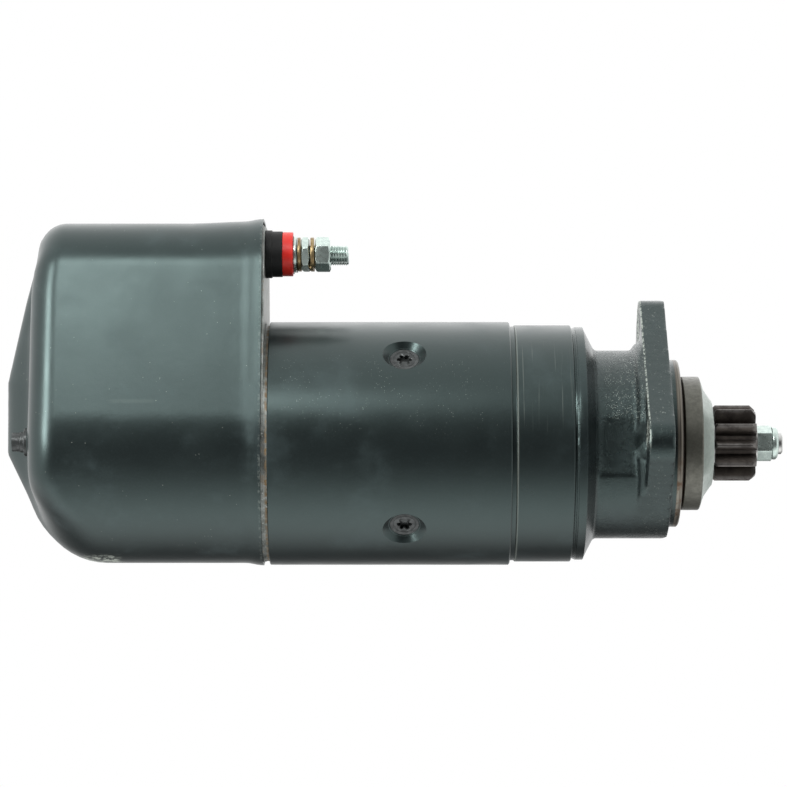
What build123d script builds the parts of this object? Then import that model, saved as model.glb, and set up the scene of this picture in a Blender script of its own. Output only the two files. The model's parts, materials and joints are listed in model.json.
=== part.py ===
from build123d import *
import os
from math import acos, cos, pi, radians, sin, tan

# A heavy sliding-gear starter motor for 24 V, lying along X.
# The origin is the centre of the pilot spigot on the flange's mating face, +X points out
# through the pinion and +Z points towards the terminals.  All sizes are in millimetres.

# ---- driving dimensions ----
PILOT_R = 46.0  # spigot that centres the starter in the flywheel housing
PILOT_LENGTH = 6.2
FLANGE_BACK_X = -14.1
FLANGE_FOOT_R = 52.4  # round underside of the flange
EAR_R = 13.5
BOLT_HOLE_R = 6.75
SPOT_FACE_R = 11.5
SPOT_FACE_X = -13.1
EAR_PLACES = [(60.0, 180.0), (67.0, 80.0), (60.0, -20.0)]  # radius and angle from +Y of each ear

YOKE_R = 66.9
YOKE_BORE_R = 58.0
YOKE_REAR_X = -217.6
YOKE_FRONT_X = -86.4
RING_R = 65.1  # intermediate housing
RING_REAR_X = -84.0
RING_FRONT_X = -52.8
RIM_R = 64.1  # rear rim of the drive-end housing
RIM_REAR_X = -50.8
RIM_FRONT_X = -46.1
NECK_REAR_X = -40.4
NECK_R = 51.2
CLUTCH_BORE_R = 45.0
WEB_REAR_X = -18.0
NOSE_SEAT_X = 8.2
NOSE_SEAT_R = 36.2
BOLT_HEAD_FLAT = 49.3  # flats in the neck that clear the heads of the flange bolts

POLE_SCREW_X = -144.0
POLE_ANGLES = [45.0, 135.0, 225.0, 315.0]
POLE_FACE_R = 42.0
POLE_HALF_LENGTH = 40.0

LOBE_Y = 12.0  # corner circles of the relay lobe, above the motor axis
LOBE_Z = 87.7
COVER_R = 65.9
COVER_LOBE_R = 33.9
COVER_SKIN = 1.6
COVER_RIM_X = -221.1
COVER_FLARE_X = -234.0
COVER_FLARE = 1.3
COVER_END_X = -346.5
COVER_END_FILLET = 17.0
DOME_X = -361.7  # crown of the raised field in the middle of the cover's end
DOME_FOOT = (-38.0, 97.0, 27.0)  # lowest z, highest z and half width of the raised field
DOME_CROWN = (-7.0, 33.0, 10.0)

SHIELD_REAR_X = -221.0
SHIELD_R = 65.2
SHIELD_LOBE_R = 31.0
SHIELD_LIP_X = -219.9  # front face of the plate round the terminals
CUP_R = 57.5  # cup of the end shield, round the brush gear
CUP_BORE_R = 54.0
CUP_REAR_X = -262.0
CUP_WEB_X = -254.0

BUSH_R = 16.0
JOURNAL_R = 12.0
RUNNING_GAP = 0.05
SHAFT_BORE_R = 6.2
SHAFT_SEAT_R = 14.0

BOLT_CIRCLE_R = 50.8  # the two through bolts lie level with the shaft
BOLT_R = 3.0

BRUSH_COUNT = 4
BRUSH_FIRST_ANGLE = 45.0
BRUSH_REAR_X = -246.0
BRUSH_LENGTH = 18.0
BRUSH_WIDTH = 12.0
BRUSH_INNER_R = 24.3
BRUSH_OUTER_R = 40.0
HOLDER_INNER_R = 27.0
HOLDER_OUTER_R = 53.0
COMMUTATOR_R = 24.0
COMMUTATOR_BARS = 27

SOLENOID_R = 46.0
SOLENOID_REAR_X = -318.0
SOLENOID_FRONT_X = -262.4
PLUNGER_R = 21.8
ROD_R = 5.0
COVER_SCREW_Y = 36.0
COVER_SEAT_X = -347.6

RELAY_Y = -16.0
RELAY_Z = 87.0
RELAY_R = 15.0
RELAY_EAR = 21.4  # from the relay's axis to each of its two posts
LEVER_PIVOT_X = -296.0
LEVER_PIVOT_Z = 74.0

TERMINAL_Y = 16.0  # terminal 30 at -Y, terminal 31 at +Y
TERMINAL_Z = 103.3
TERMINAL_STUD_R = 5.0
TERMINAL_SIZES = [(-TERMINAL_Y, 1.0), (TERMINAL_Y, 0.8)]  # terminal 30 is M10 and terminal 31 is M8
TERMINAL_HEX = 16.5
TERMINAL_TIP_X = -174.6
CONTROL_TERMINAL = (38.0, 62.0)  # y and z of the small terminal 50

PINION_TEETH = 11
MODULE = 3.0
PROFILE_SHIFT = 0.5
PRESSURE_ANGLE = radians(20.0)
PINION_REAR_X = 26.4
PINION_FRONT_X = 48.9
PINION_PHASE = 184.5  # angle from +Y of one tooth's middle
SPLINES = 10

PIECES = {}


def keep(name, piece):
    """Label a finished piece and remember it for writing."""
    piece.part.label = name
    PIECES[name] = piece.part


def turned(*stations, mode=Mode.ADD):
    """Revolve a closed outline of (x, radius) stations about the shaft line."""
    with BuildSketch(Plane.XZ) as outline:
        with BuildLine():
            Polyline(*stations, close=True)
        make_face()
    revolve(outline.sketch, axis=Axis.X, mode=mode)


def bar(x0, x1, radius, y=0.0, z=0.0, mode=Mode.ADD):
    """Add or cut a round bar that runs along X at (y, z)."""
    with BuildSketch(Plane.YZ.offset(x0)) as section:
        with Locations((y, z)):
            Circle(radius)
    extrude(section.sketch, amount=x1 - x0, mode=mode)


def tube(x0, x1, outer, bore, y=0.0, z=0.0, mode=Mode.ADD):
    """Add or cut a tube that runs along X at (y, z)."""
    with BuildSketch(Plane.YZ.offset(x0)) as section:
        with Locations((y, z)):
            Circle(outer)
            Circle(bore, mode=Mode.SUBTRACT)
    extrude(section.sketch, amount=x1 - x0, mode=mode)


def block(x0, x1, y0, y1, z0, z1, mode=Mode.ADD):
    """Add or cut a rectangular block between two corners."""
    with BuildSketch(Plane.YZ.offset(x0)) as section:
        with Locations(((y0 + y1) / 2, (z0 + z1) / 2)):
            Rectangle(y1 - y0, z1 - z0)
    extrude(section.sketch, amount=x1 - x0, mode=mode)


def hex_bar(x0, x1, across_flats, y=0.0, z=0.0, turn=0.0):
    """Add a hexagonal bar along X with its corners eased like a forged nut's."""
    with BuildSketch(Plane.YZ.offset(x0)) as section:
        with Locations((y, z)):
            RegularPolygon(across_flats / 2, 6, major_radius=False, rotation=turn)
    extrude(section.sketch, amount=x1 - x0)


def radial_plane(x, radius, angle):
    """A plane that faces outwards from the shaft line at a radius and an angle from +Y."""
    away = (0.0, cos(radians(angle)), sin(radians(angle)))
    return Plane(origin=(x, radius * away[1], radius * away[2]), x_dir=(1, 0, 0), z_dir=away)


def radial_cone(x, angle, outer, outer_r, inner, inner_r, mode=Mode.ADD):
    """Add or cut a cone that runs radially between two radii from the shaft line."""
    with BuildSketch(radial_plane(x, outer, angle)) as wide:
        Circle(outer_r)
    with BuildSketch(radial_plane(x, inner, angle)) as narrow:
        Circle(inner_r)
    loft(sections=[wide.sketch, narrow.sketch], mode=mode)


def radial_block(x0, x1, inner, outer, width, angle, mode=Mode.ADD):
    """Add or cut a block that lies along one radius."""
    with BuildSketch(Plane.YZ.offset(x0)) as section:
        with PolarLocations((inner + outer) / 2, 1, start_angle=angle):
            Rectangle(outer - inner, width)
    extrude(section.sketch, amount=x1 - x0, mode=mode)


def pear(x, motor_r, lobe_r):
    """Pear-shaped section: the motor's circle hulled with the relay lobe's two corners."""
    with BuildSketch(Plane.YZ.offset(x)) as outline:
        Circle(motor_r)
        with Locations((-LOBE_Y, LOBE_Z), (LOBE_Y, LOBE_Z)):
            Circle(lobe_r)
        make_hull()
    return outline.sketch


def ring_sector(x, inner, outer, middle, half):
    """Sector of a ring about the shaft line, between two radii, in a plane across the shaft."""
    with BuildSketch(Plane.YZ.offset(x)) as piece:
        with BuildLine():
            rim = CenterArc((0, 0), outer, middle - half, 2 * half)
            bore = CenterArc((0, 0), inner, middle - half, 2 * half)
            Line(rim @ 0, bore @ 0)
            Line(rim @ 1, bore @ 1)
        make_face()
    return piece.sketch


def coil_spring(start, along, mean_r, wire_r, turns, length):
    """Add a helical spring that starts at a point and runs along a direction."""
    base = Plane(origin=start, z_dir=along)
    helix = Helix(pitch=length / turns, height=length, radius=mean_r, mode=Mode.PRIVATE)
    path = base.from_local_coords(helix)
    with BuildSketch(Plane(origin=path @ 0, z_dir=path % 0)) as wire:
        Circle(wire_r)
    sweep(wire.sketch, path=path, is_frenet=True)


# ---- rear cover ----
def cover_body(inset, rim_x):
    """Drawn cover as a full body: pear section, rounded end and raised field, all inset."""
    end = COVER_END_X + inset
    extrude(pear(end, COVER_R - inset, COVER_LOBE_R - inset), amount=rim_x - end)
    ends = faces().sort_by(Axis.X)[0].edges()
    fillet(ends, radius=COVER_END_FILLET - inset)
    with BuildSketch(Plane.YZ.offset(end + 4.0)) as foot:
        dome_outline(DOME_FOOT, inset - 4.0 * 1.1, 24.0)
    with BuildSketch(Plane.YZ.offset(DOME_X + inset)) as crown:
        dome_outline(DOME_CROWN, inset, 8.0)
    loft(sections=[foot.sketch, crown.sketch])


def dome_outline(limits, inset, corner):
    """Rounded rectangle of the raised field from its lowest z, highest z and half width."""
    low, high, half = limits
    with Locations((0, (low + high) / 2)):
        RectangleRounded(2 * (half - inset), high - low - 2 * inset, corner - min(inset, corner / 2))


with BuildPart() as cover_space:
    cover_body(COVER_SKIN, COVER_RIM_X + 5.0)

with BuildPart() as end_cover:
    cover_body(0.0, COVER_RIM_X)
    flare_root = pear(COVER_FLARE_X, COVER_R, COVER_LOBE_R)
    flare_rim = pear(COVER_RIM_X, COVER_R + COVER_FLARE, COVER_LOBE_R + COVER_FLARE)
    loft(sections=[flare_root, flare_rim])
    for side in (-1, 1):
        bar(COVER_SEAT_X, -370.0, 9.0, side * COVER_SCREW_Y, 0.0, mode=Mode.SUBTRACT)
    add(cover_space.part, mode=Mode.SUBTRACT)
    for side in (-1, 1):
        tube(COVER_SEAT_X, COVER_END_X + COVER_SKIN, 9.0, 3.3, side * COVER_SCREW_Y, 0.0)
        bar(-370.0, -330.0, 3.3, side * COVER_SCREW_Y, 0.0, mode=Mode.SUBTRACT)
keep("end_cover", end_cover)


with BuildPart() as cover_screws:
    for side in (-1, 1):
        y = side * COVER_SCREW_Y
        bar(-356.2, -352.0, 5.1, y, 0.0)
        bar(-352.0, -322.0, 2.9, y, 0.0)
        block(-356.2, -354.8, y - 0.7, y + 0.7, -5.2, 5.2, mode=Mode.SUBTRACT)
keep("cover_screws", cover_screws)

with BuildPart() as cover_washers:
    for side in (-1, 1):
        y = side * COVER_SCREW_Y
        tube(-351.9, -349.6, 5.6, 3.1, y, 0.0)
        tube(-349.6, COVER_SEAT_X - 0.1, 7.6, 3.1, y, 0.0)
keep("cover_washers", cover_washers)

with BuildPart() as cover_seal:
    extrude(pear(-227.0, 64.1, 32.1), amount=2.0)
    extrude(pear(-227.0, 63.0, 31.0), amount=2.0, mode=Mode.SUBTRACT)
keep("cover_seal", cover_seal)

# ---- end shield between cover and yoke ----
with BuildPart() as end_shield:
    extrude(pear(SHIELD_REAR_X, SHIELD_R, SHIELD_LOBE_R), amount=SHIELD_LIP_X - SHIELD_REAR_X)
    bar(SHIELD_REAR_X, YOKE_REAR_X, SHIELD_R - 0.3)
    extrude(pear(-229.0, 63.9, 31.9), amount=1.8)
    extrude(pear(-227.2, 62.9, 30.9), amount=2.4)
    extrude(pear(-224.8, 63.9, 31.9), amount=3.8)
    extrude(pear(-229.0, 61.5, 29.5), amount=8.0, mode=Mode.SUBTRACT)
    bar(CUP_REAR_X, YOKE_REAR_X, CUP_R)
    bar(CUP_WEB_X, YOKE_REAR_X, CUP_BORE_R, mode=Mode.SUBTRACT)
    bar(CUP_WEB_X, -248.0, 20.0)
    bar(CUP_REAR_X, -248.0, BUSH_R, mode=Mode.SUBTRACT)
    for side in (-1, 1):
        bar(CUP_REAR_X, CUP_WEB_X, BOLT_R + 0.1, side * BOLT_CIRCLE_R, 0.0, mode=Mode.SUBTRACT)
    for y in (RELAY_Y - RELAY_EAR, RELAY_Y + RELAY_EAR):
        bar(-264.1, SHIELD_REAR_X, 3.5, y, RELAY_Z)
        bar(-267.0, -264.1, 2.0, y, RELAY_Z)
    bar(-229.0, SHIELD_REAR_X, 10.0, TERMINAL_Y, TERMINAL_Z)
    bar(-229.0, YOKE_REAR_X, 0.8 * TERMINAL_STUD_R + 0.05, TERMINAL_Y, TERMINAL_Z, mode=Mode.SUBTRACT)
    bar(SHIELD_REAR_X, YOKE_REAR_X, 7.0, -TERMINAL_Y, TERMINAL_Z, mode=Mode.SUBTRACT)
    bar(SHIELD_REAR_X, YOKE_REAR_X, 3.6, *CONTROL_TERMINAL, mode=Mode.SUBTRACT)
    block(-240.0, -227.0, -24.0, -8.0, 40.0, 58.0, mode=Mode.SUBTRACT)
keep("end_shield", end_shield)

# ---- yoke with its poles and field winding ----
with BuildPart() as yoke:
    turned((YOKE_REAR_X, YOKE_BORE_R), (YOKE_REAR_X, YOKE_R - 0.4), (YOKE_REAR_X + 0.4, YOKE_R),
           (YOKE_FRONT_X - 0.6, YOKE_R), (YOKE_FRONT_X, YOKE_R - 0.6), (YOKE_FRONT_X, YOKE_BORE_R))
    for angle in POLE_ANGLES:
        radial_cone(POLE_SCREW_X, angle, 68.5, 13.2, 63.3, 8.6, mode=Mode.SUBTRACT)
        radial_cone(POLE_SCREW_X, angle, 63.4, 8.4, 60.0, 5.2, mode=Mode.SUBTRACT)
        radial_cone(POLE_SCREW_X, angle, 60.1, 5.2, 55.0, 5.2, mode=Mode.SUBTRACT)
keep("yoke", yoke)

with BuildPart() as pole_shoes:
    for angle in POLE_ANGLES:
        core_x = POLE_SCREW_X - POLE_HALF_LENGTH
        extrude(ring_sector(core_x, POLE_FACE_R, 46.0, angle, 34.0), amount=2 * POLE_HALF_LENGTH)
        extrude(ring_sector(core_x, 45.5, YOKE_BORE_R - 0.05, angle, 14.5), amount=2 * POLE_HALF_LENGTH)
        radial_cone(POLE_SCREW_X, angle, 60.0, 5.0, 46.5, 5.0, mode=Mode.SUBTRACT)
keep("pole_shoes", pole_shoes)

with BuildPart() as field_coils:
    for angle in POLE_ANGLES:
        extrude(ring_sector(-194.0, 46.3, 57.6, angle, 36.0), amount=100.0)
        extrude(ring_sector(-185.0, 45.0, 59.0, angle, 16.5), amount=82.0, mode=Mode.SUBTRACT)
keep("field_coils", field_coils)

with BuildPart() as pole_screws:
    for angle in POLE_ANGLES:
        radial_cone(POLE_SCREW_X, angle, 63.3, 8.05, 60.05, 4.95)
        radial_cone(POLE_SCREW_X, angle, 60.05, 4.9, 47.0, 4.9)
        with BuildSketch(radial_plane(POLE_SCREW_X, 60.4, angle)) as socket:
            Circle(3.2)
            with PolarLocations(3.3, 6):
                Circle(1.1)
        extrude(socket.sketch, amount=3.5, mode=Mode.SUBTRACT)
keep("pole_screws", pole_screws)

with BuildPart() as through_bolts:
    for side in (-1, 1):
        y = side * BOLT_CIRCLE_R
        hex_bar(-266.4, CUP_REAR_X, 8.0, y, 0.0)
        bar(CUP_REAR_X, -44.5, BOLT_R, y, 0.0)
keep("through_bolts", through_bolts)

# ---- intermediate housing and drive-end housing ----
with BuildPart() as intermediate_housing:
    turned((-91.0, 54.0), (-91.0, 57.9), (YOKE_FRONT_X, 57.9), (YOKE_FRONT_X, 64.4),
           (RING_REAR_X, 64.4), (RING_REAR_X + 0.5, RING_R),
           (RING_FRONT_X - 0.5, RING_R), (RING_FRONT_X, RING_R - 0.5), (RING_FRONT_X, 57.0),
           (-78.0, 57.0), (-78.0, 20.0), (-70.0, 20.0), (-70.0, BUSH_R), (RING_REAR_X, BUSH_R),
           (RING_REAR_X, 54.0))
    for side in (-1, 1):
        bar(RING_REAR_X, -78.0, BOLT_R + 0.1, side * BOLT_CIRCLE_R, 0.0, mode=Mode.SUBTRACT)
keep("intermediate_housing", intermediate_housing)


def flange_outline(x):
    """Flange outline: three bolt ears hulled with the round foot."""
    with BuildSketch(Plane.YZ.offset(x)) as outline:
        Circle(FLANGE_FOOT_R)
        for radius, angle in EAR_PLACES:
            with Locations((radius * cos(radians(angle)), radius * sin(radians(angle)))):
                Circle(EAR_R)
        make_hull()
    return outline.sketch


root_x = FLANGE_BACK_X - 4.5
with BuildPart() as flange_root:
    with BuildSketch(Plane.XZ) as root_outline:
        with BuildLine():
            Line((root_x, NECK_R - 2), (root_x, NECK_R))
            RadiusArc((root_x, NECK_R), (FLANGE_BACK_X, NECK_R + 4.5), 4.5)
            Polyline((FLANGE_BACK_X, NECK_R + 4.5), (-12.0, NECK_R + 4.5), (-12.0, NECK_R - 2),
                     (root_x, NECK_R - 2))
        make_face()
    revolve(root_outline.sketch, axis=Axis.X)
    extrude(flange_outline(-20.0), amount=10.0, mode=Mode.INTERSECT)

with BuildPart() as neck_foot:
    bar(NECK_REAR_X + 0.6, -10.0, FLANGE_FOOT_R)
    block(-60.0, 0.0, -80.0, 80.0, -18.0, 80.0, mode=Mode.SUBTRACT)

with BuildPart() as drive_end_housing:
    turned((-58.0, CLUTCH_BORE_R), (-58.0, 56.9), (RING_FRONT_X, 56.9), (RING_FRONT_X, 63.3),
           (RIM_REAR_X, 63.3), (RIM_REAR_X + 0.4, RIM_R), (RIM_FRONT_X, RIM_R), (RIM_FRONT_X + 0.3, 63.1),
           (NECK_REAR_X, 52.6), (NECK_REAR_X + 0.8, NECK_R), (-5.0, NECK_R), (-5.0, 40.0),
           (0.0, 40.0), (0.0, PILOT_R), (PILOT_LENGTH - 0.8, PILOT_R),
           (PILOT_LENGTH, PILOT_R - 0.8), (PILOT_LENGTH, NOSE_SEAT_R), (NOSE_SEAT_X, NOSE_SEAT_R),
           (NOSE_SEAT_X, 18.0),
           (WEB_REAR_X, 18.0), (WEB_REAR_X, CLUTCH_BORE_R))
    extrude(flange_outline(FLANGE_BACK_X), amount=-FLANGE_BACK_X)
    add(flange_root.part)
    add(neck_foot.part)
    bar(-60.0, WEB_REAR_X, CLUTCH_BORE_R, mode=Mode.SUBTRACT)
    bar(-30.0, 10.0, 18.0, mode=Mode.SUBTRACT)
    for radius, angle in EAR_PLACES:
        y = radius * cos(radians(angle))
        z = radius * sin(radians(angle))
        bar(-36.0, 1.0, BOLT_HOLE_R, y, z, mode=Mode.SUBTRACT)
        bar(-19.0, SPOT_FACE_X, SPOT_FACE_R, y, z, mode=Mode.SUBTRACT)
    for angle in (180.0, -20.0):
        radial_block(-37.0, -19.0, BOLT_HEAD_FLAT, 60.0, 36.0, angle, mode=Mode.SUBTRACT)
    for side in (-1, 1):
        bar(-58.0, -44.0, BOLT_R + 0.05, side * BOLT_CIRCLE_R, 0.0, mode=Mode.SUBTRACT)
keep("drive_end_housing", drive_end_housing)

with BuildPart() as seal_housing:
    turned((NOSE_SEAT_X, 22.0), (NOSE_SEAT_X, 36.0), (NOSE_SEAT_X + 0.8, 36.8), (17.6, 36.8), (18.2, 36.2),
           (18.2, 22.0))
keep("seal_housing", seal_housing)

with BuildPart() as nose_ring:
    turned((19.2, 14.8), (19.2, 22.2), (18.2, 22.2), (18.2, 36.0), (20.4, 29.7), (24.2, 24.2), (25.0, 23.4),
           (25.0, 14.8))
keep("nose_ring", nose_ring)

with BuildPart() as front_bearing:
    tube(-16.0, NOSE_SEAT_X, 18.0, 14.0 + RUNNING_GAP)
keep("front_bearing", front_bearing)

with BuildPart() as front_seal:
    turned((NOSE_SEAT_X + 1.8, 22.0), (19.0, 22.0), (19.0, 19.0), (13.0, 17.0), (12.4, 14.1), (11.4, 14.1),
           (10.0, 18.5))
keep("front_seal", front_seal)

with BuildPart() as armature_bushes:
    tube(CUP_REAR_X, -248.0, BUSH_R, JOURNAL_R + RUNNING_GAP)
    tube(RING_REAR_X, -70.0, BUSH_R, JOURNAL_R + RUNNING_GAP)
keep("armature_bushes", armature_bushes)

# ---- brush gear ----
BRUSH_ANGLES = [BRUSH_FIRST_ANGLE + 360.0 / BRUSH_COUNT * index for index in range(BRUSH_COUNT)]

with BuildPart() as brush_plate:
    tube(-251.0, -248.5, CUP_BORE_R - 0.1, 26.5)
    for side in (-1, 1):
        bar(-251.0, -248.5, BOLT_R + 0.3, side * BOLT_CIRCLE_R, 0.0, mode=Mode.SUBTRACT)
keep("brush_plate", brush_plate)


with BuildPart() as brush_holders:
    for angle in BRUSH_ANGLES:
        radial_block(-248.5, -226.0, HOLDER_INNER_R, HOLDER_OUTER_R, 17.0, angle)
        radial_block(BRUSH_REAR_X - 0.3, -227.7, 20.0, HOLDER_OUTER_R - 1.4, BRUSH_WIDTH + 0.6, angle,
                     mode=Mode.SUBTRACT)
keep("brush_holders", brush_holders)

for number, angle in enumerate(BRUSH_ANGLES, start=1):
    with BuildPart() as brush:
        brush_front_x = BRUSH_REAR_X + BRUSH_LENGTH
        radial_block(BRUSH_REAR_X, brush_front_x, BRUSH_INNER_R - 1.0, BRUSH_OUTER_R, BRUSH_WIDTH, angle)
        bar(-250.0, -220.0, BRUSH_INNER_R, mode=Mode.SUBTRACT)
    keep("brush_" + str(number), brush)

with BuildPart() as brush_springs:
    for angle in BRUSH_ANGLES:
        seat = radial_plane(BRUSH_REAR_X + BRUSH_LENGTH / 2, BRUSH_OUTER_R + 0.6, angle)
        coil_spring(seat.origin, seat.z_dir, 4.2, 0.4, 4.5, 10.6)
keep("brush_springs", brush_springs)

# ---- solenoid, on the motor's axis behind the end shield ----
with BuildPart() as solenoid_frame:
    tube(SOLENOID_REAR_X, SOLENOID_FRONT_X, SOLENOID_R, 42.0)
    tube(SOLENOID_REAR_X, -311.0, 43.0, PLUNGER_R + 0.5)
    for side in (-1, 1):
        bar(COVER_END_X + COVER_SKIN, SOLENOID_REAR_X, 6.5, side * COVER_SCREW_Y, 0.0)
        bar(-346.0, -320.0, 2.95, side * COVER_SCREW_Y, 0.0, mode=Mode.SUBTRACT)
    for y in (1.4, 9.1):
        block(-303.0, -289.0, y, y + 2.6, 44.0, LEVER_PIVOT_Z)
    with BuildSketch(Plane.XZ.offset(-11.7)) as lug:
        with Locations((LEVER_PIVOT_X, LEVER_PIVOT_Z)):
            Circle(7.0)
    extrude(lug.sketch, amount=10.3)
    block(-310.0, -282.0, 4.0, 9.1, 48.0, 84.0, mode=Mode.SUBTRACT)
    with BuildSketch(Plane.XZ.offset(-12.0)) as pin_hole:
        with Locations((LEVER_PIVOT_X, LEVER_PIVOT_Z)):
            Circle(2.6)
    extrude(pin_hole.sketch, amount=11.0, mode=Mode.SUBTRACT)
keep("solenoid_frame", solenoid_frame)

with BuildPart() as solenoid_coil:
    tube(-310.9, -270.1, 41.9, 24.0)
keep("solenoid_coil", solenoid_coil)

with BuildPart() as solenoid_pole_piece:
    tube(-270.0, SOLENOID_FRONT_X, 41.9, ROD_R + 0.3)
keep("solenoid_pole_piece", solenoid_pole_piece)

with BuildPart() as solenoid_plunger:
    tube(-330.0, -292.0, PLUNGER_R, ROD_R)
    bar(-306.0, -292.0, 12.0, mode=Mode.SUBTRACT)
    tube(-307.0, -306.0, 8.0, ROD_R)
keep("solenoid_plunger", solenoid_plunger)

with BuildPart() as return_spring:
    coil_spring((-304.8, 0, 0), (1, 0, 0), 9.0, 0.8, 7.0, 33.4)
keep("return_spring", return_spring)

with BuildPart() as engaging_rod:
    bar(-354.0, -50.5, ROD_R)
    bar(-354.0, -351.5, 9.5)
    chamfer(faces().sort_by(Axis.X)[-1].edges(), 0.8)
keep("engaging_rod", engaging_rod)

# ---- control relay in the upper lobe ----
with BuildPart() as relay_frame:
    tube(-302.0, -299.5, RELAY_R, 8.2, RELAY_Y, RELAY_Z)
    tube(-299.5, -266.0, RELAY_R, 12.8, RELAY_Y, RELAY_Z)
    with BuildSketch(Plane.YZ.offset(-266.0)) as ears:
        with Locations((RELAY_Y, RELAY_Z)):
            Circle(RELAY_R)
            SlotCenterToCenter(2 * RELAY_EAR, 9.0)
            Circle(3.2, mode=Mode.SUBTRACT)
            with Locations((-RELAY_EAR, 0), (RELAY_EAR, 0)):
                Circle(2.05, mode=Mode.SUBTRACT)
    extrude(ears.sketch, amount=1.85)
keep("relay_frame", relay_frame)

with BuildPart() as relay_coil:
    tube(-299.4, -266.1, 12.7, 8.6, RELAY_Y, RELAY_Z)
keep("relay_coil", relay_coil)

with BuildPart() as relay_armature:
    bar(-310.0, -272.0, 7.9, RELAY_Y, RELAY_Z)
    bar(-312.5, -310.0, 9.5, RELAY_Y, RELAY_Z)
    bar(-272.0, -238.6, 2.9, RELAY_Y, RELAY_Z)
keep("relay_armature", relay_armature)

with BuildPart() as contact_bridge:
    block(-243.0, -240.0, RELAY_Y - 7, RELAY_Y + 7, 63.0, 111.0)
    fillet(edges().filter_by(Axis.X), 3.0)
    bar(-244.0, -239.0, 2.9, RELAY_Y, RELAY_Z, mode=Mode.SUBTRACT)
keep("contact_bridge", contact_bridge)

with BuildPart() as relay_spring:
    coil_spring((-239.2, RELAY_Y, RELAY_Z), (1, 0, 0), 5.0, 0.45, 4.5, 9.4)
keep("relay_spring", relay_spring)

with BuildPart() as contact_block:
    block(-229.0, -221.0, -27.0, -5.0, 62.0, 111.0)
    fillet(edges().filter_by(Axis.X), 4.0)
    bar(-230.0, -220.0, TERMINAL_STUD_R + 0.05, -TERMINAL_Y, TERMINAL_Z, mode=Mode.SUBTRACT)
    bar(-230.0, -225.0, 4.05, RELAY_Y, 70.0, mode=Mode.SUBTRACT)
keep("contact_block", contact_block)

with BuildPart() as motor_lead:
    bar(-236.6, -229.0, 7.0, RELAY_Y, 70.0)
    bar(-229.0, -225.4, 4.0, RELAY_Y, 70.0)
    block(-232.5, -230.9, -20.0, -12.0, 48.0, 68.0)
    block(-232.5, -194.1, -20.0, -12.0, 48.0, 49.6)
keep("motor_lead", motor_lead)

with BuildPart() as trip_lever:
    with BuildSketch(Plane.XZ.offset(-8.6)) as arm:
        with BuildLine():
            Polyline((-296, 80), (-338, 77), (-343, 72), (-343, 14), (-340, 14), (-340, 60), (-334, 66),
                     (-296, 68), close=True)
        make_face()
        with Locations((LEVER_PIVOT_X, LEVER_PIVOT_Z)):
            Circle(6.0)
    extrude(arm.sketch, amount=4.1)
    block(-343.0, -340.0, -8.8, 8.6, 14.0, 21.0)
    for y in (-8.8, 5.8):
        block(-343.0, -340.0, y, y + 2.8, -6.0, 15.0)
    block(-306.6, -305.0, -19.0, 5.0, 72.0, 78.4)
    with BuildSketch(Plane.XZ.offset(-11.6)) as pin:
        with Locations((LEVER_PIVOT_X, LEVER_PIVOT_Z)):
            Circle(2.5)
    extrude(pin.sketch, amount=10.0)
keep("trip_lever", trip_lever)

# ---- armature ----
with BuildPart() as armature_shaft:
    turned((-261.5, SHAFT_BORE_R), (-261.5, JOURNAL_R - 0.5), (-261.0, JOURNAL_R), (-247.0, JOURNAL_R),
           (-247.0, SHAFT_SEAT_R), (-86.0, SHAFT_SEAT_R), (-86.0, JOURNAL_R), (-63.0, JOURNAL_R),
           (-63.0, SHAFT_BORE_R))
keep("armature_shaft", armature_shaft)

SLOTS = 24
with BuildPart() as armature_core:
    tube(-184.0, -104.0, POLE_FACE_R - 0.7, SHAFT_SEAT_R)
    for index in range(SLOTS):
        radial_block(-185.0, -103.0, 30.0, 44.0, 4.4, 360.0 / SLOTS * index, mode=Mode.SUBTRACT)
keep("armature_core", armature_core)

with BuildPart() as armature_windings:
    turned((-206.5, 20.0), (-206.5, 27.0), (-198.0, 40.0), (-184.1, 40.0), (-184.1, 20.0))
    tube(-103.9, -88.5, 40.0, 20.0)
    for index in range(SLOTS):
        radial_block(-190.0, -98.0, 30.6, 40.0, 3.8, 360.0 / SLOTS * index)
keep("armature_windings", armature_windings)

with BuildPart() as commutator:
    turned((-246.0, SHAFT_SEAT_R), (-246.0, COMMUTATOR_R), (-210.0, COMMUTATOR_R), (-210.0, 27.0),
           (-207.0, 27.0), (-207.0, SHAFT_SEAT_R))
    for index in range(COMMUTATOR_BARS):
        radial_block(-247.0, -206.0, COMMUTATOR_R - 1.2, 29.0, 0.7, 360.0 / COMMUTATOR_BARS * index,
                     mode=Mode.SUBTRACT)
keep("commutator", commutator)

# ---- multi-plate clutch ----
PLATE_PITCH = 5.0
PLATE_THICKNESS = 1.8
with BuildPart() as clutch_drum:
    turned((-68.0, JOURNAL_R), (-68.0, 40.0), (-67.0, 41.0), (-23.0, 41.0), (-22.0, 40.0), (-22.0, 25.5),
           (-25.0, 25.5), (-25.0, 37.5), (-63.0, 37.5), (-63.0, JOURNAL_R))
keep("clutch_drum", clutch_drum)

with BuildPart() as clutch_outer_plates:
    for index in range(6):
        x = -58.0 + PLATE_PITCH * index
        tube(x, x + PLATE_THICKNESS, 37.4, 28.0)
keep("clutch_outer_plates", clutch_outer_plates)

with BuildPart() as clutch_inner_plates:
    for index in range(5):
        x = -55.5 + PLATE_PITCH * index
        tube(x, x + PLATE_THICKNESS, 35.0, 24.85)
keep("clutch_inner_plates", clutch_inner_plates)

with BuildPart() as clutch_hub:
    tube(-61.0, -21.0, 24.8, 11.6)
    for index in range(SPLINES):
        radial_block(-61.0, -21.0, 10.0, 13.3, 3.4, 360.0 / SPLINES * index, mode=Mode.SUBTRACT)
keep("clutch_hub", clutch_hub)

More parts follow.
